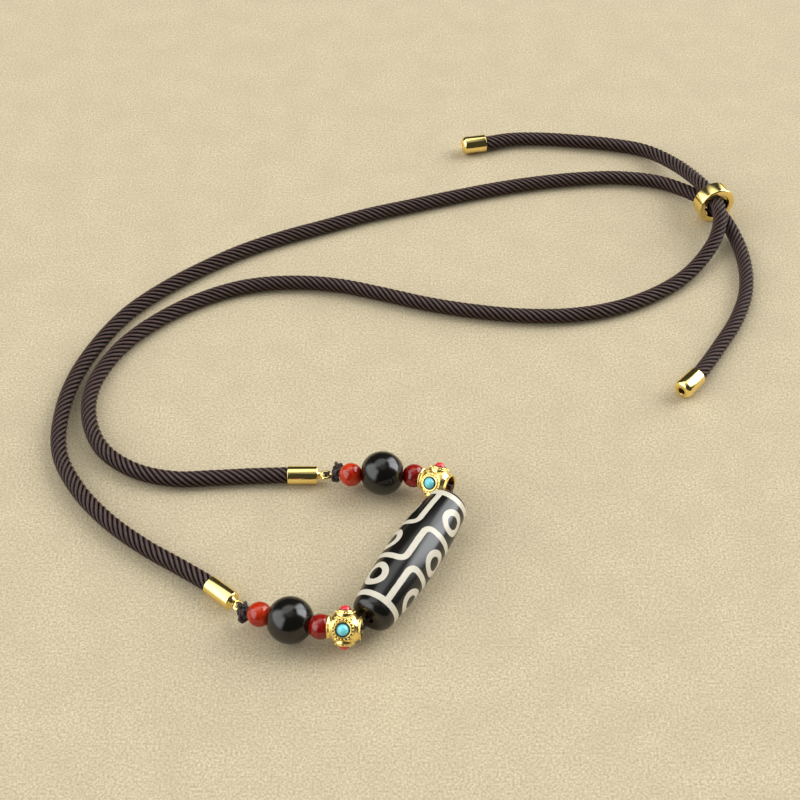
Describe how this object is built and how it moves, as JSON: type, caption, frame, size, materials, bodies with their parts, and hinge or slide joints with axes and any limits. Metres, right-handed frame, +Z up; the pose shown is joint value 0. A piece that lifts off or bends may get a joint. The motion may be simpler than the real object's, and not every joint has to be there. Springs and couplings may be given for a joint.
{
  "type": "dzi bead necklace",
  "caption": "Necklace of a long patterned agate barrel bead between round beads and set gold beads, on a twisted cord whose two ends pass a sliding ring.",
  "frame": {"origin": "on the surface the necklace lies on, below the middle of the space that its beads, ferrules, knots and ring span (the two cords and their end tips are left out of it)", "axes": "+X to the right and +Y away from the viewer in the picture, +Z up from the surface"},
  "size_m": [0.1791, 0.1796, 0.012],
  "materials": {
    "banded_agate": "polished black agate with ivory lines",
    "black_agate": "polished black agate",
    "red_agate": "polished translucent orange-red agate",
    "gold": "polished yellow gold",
    "turquoise": "polished turquoise",
    "coral": "polished red coral",
    "cord": "twisted dark brown strands",
    "thread": "tied dark brown thread"
  },
  "bodies": {
    "root": {"barrel_bead": "banded_agate", "black_bead_near": "black_agate", "black_bead_far": "black_agate", "red_bead_near_outer": "red_agate", "red_bead_near_inner": "red_agate", "red_bead_far_outer": "red_agate", "red_bead_far_inner": "red_agate", "gold_bead_near": "gold", "gold_bead_far": "gold", "turquoise_near_front": "turquoise", "turquoise_near_back": "turquoise", "coral_near_top": "coral", "coral_near_bottom": "coral", "turquoise_far_front": "turquoise", "turquoise_far_back": "turquoise", "coral_far_top": "coral", "coral_far_bottom": "coral", "ferrule_near": "gold", "ferrule_far": "gold", "knot_near": "thread", "knot_far": "thread", "thread": "thread", "cord_outer": "cord", "cord_inner": "cord", "end_tip_near": "gold", "end_tip_far": "gold", "slider_ring": "gold"}
  },
  "joints": []
}
